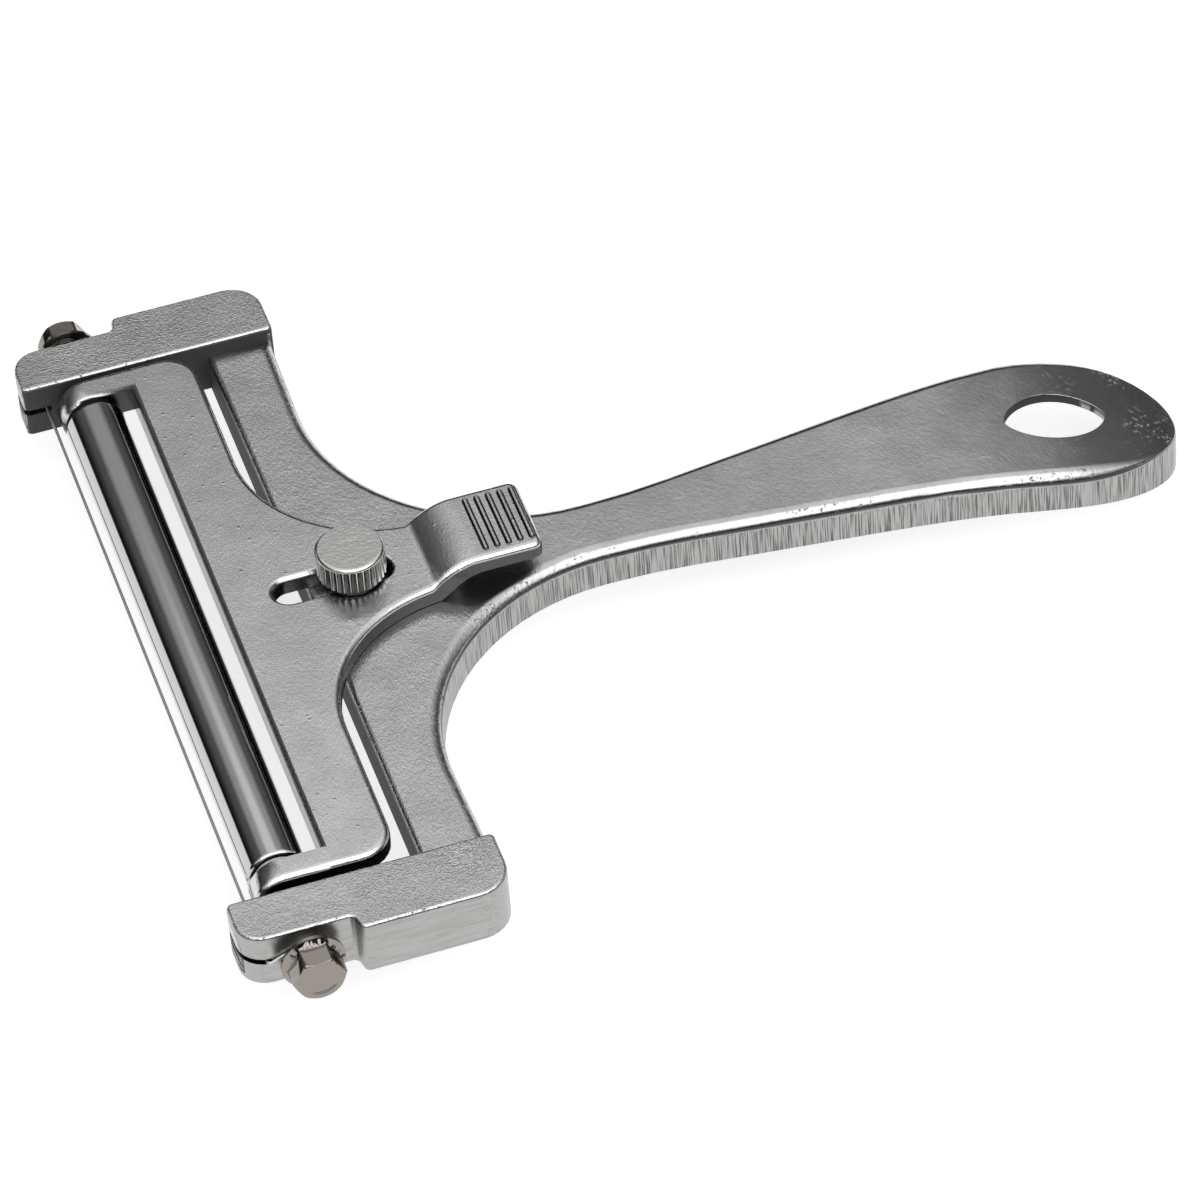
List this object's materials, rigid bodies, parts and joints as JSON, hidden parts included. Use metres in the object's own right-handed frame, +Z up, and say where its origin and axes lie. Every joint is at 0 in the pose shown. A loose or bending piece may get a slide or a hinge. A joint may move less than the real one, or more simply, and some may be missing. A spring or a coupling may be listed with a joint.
{
  "type": "hand cheese slicer",
  "caption": "Hand cheese slicer: cast fork with a taut wire, a sliding roller carriage clamped by a knurled screw, and a curved handle with a hanging hole.",
  "frame": {"origin": "middle of the bounding box's underside, on the centre line, at the height of the handle tip's lower edge", "axes": "+X from the wire towards the handle's tip, +Y across towards the far cheek, +Z up, square to the fork's flat plate"},
  "size_m": [0.1442, 0.1256, 0.0216],
  "materials": {
    "cast_frame": "cast and linished",
    "cast_carriage": "cast and tumbled",
    "polished_tube": "polished stainless",
    "bush_plastic": "matte",
    "axle_steel": "drawn",
    "wire_steel": "drawn",
    "screw_steel": "cold headed",
    "knurled_nickel": "nickel plated"
  },
  "bodies": {
    "frame": {"frame_casting": "cast_frame", "cutting_wire": "wire_steel", "near_wire_screw": "screw_steel", "far_wire_screw": "screw_steel"},
    "carriage": {"roller_carriage": "cast_carriage", "roller_axle": "axle_steel"},
    "roller": {"roller_tube": "polished_tube", "roller_bushes": "bush_plastic"},
    "thumb_screw": {"thumb_screw": "knurled_nickel"}
  },
  "joints": [
    {"name": "carriage_slide", "type": "slide", "parent": "frame", "child": "carriage", "axis": [1, 0, 0], "range_m": [-0.0004, 0.0078]},
    {"name": "roller_spin", "type": "hinge", "parent": "carriage", "child": "roller", "pos_m": [-0.0639, 0, 0.01255], "axis": [0, 1, 0], "continuous": true},
    {"name": "thumb_screw_turn", "type": "hinge", "parent": "frame", "child": "thumb_screw", "pos_m": [-0.0408, 0, 0.0126], "axis": [0, 0, 1], "range_deg": [0, 720]}
  ]
}
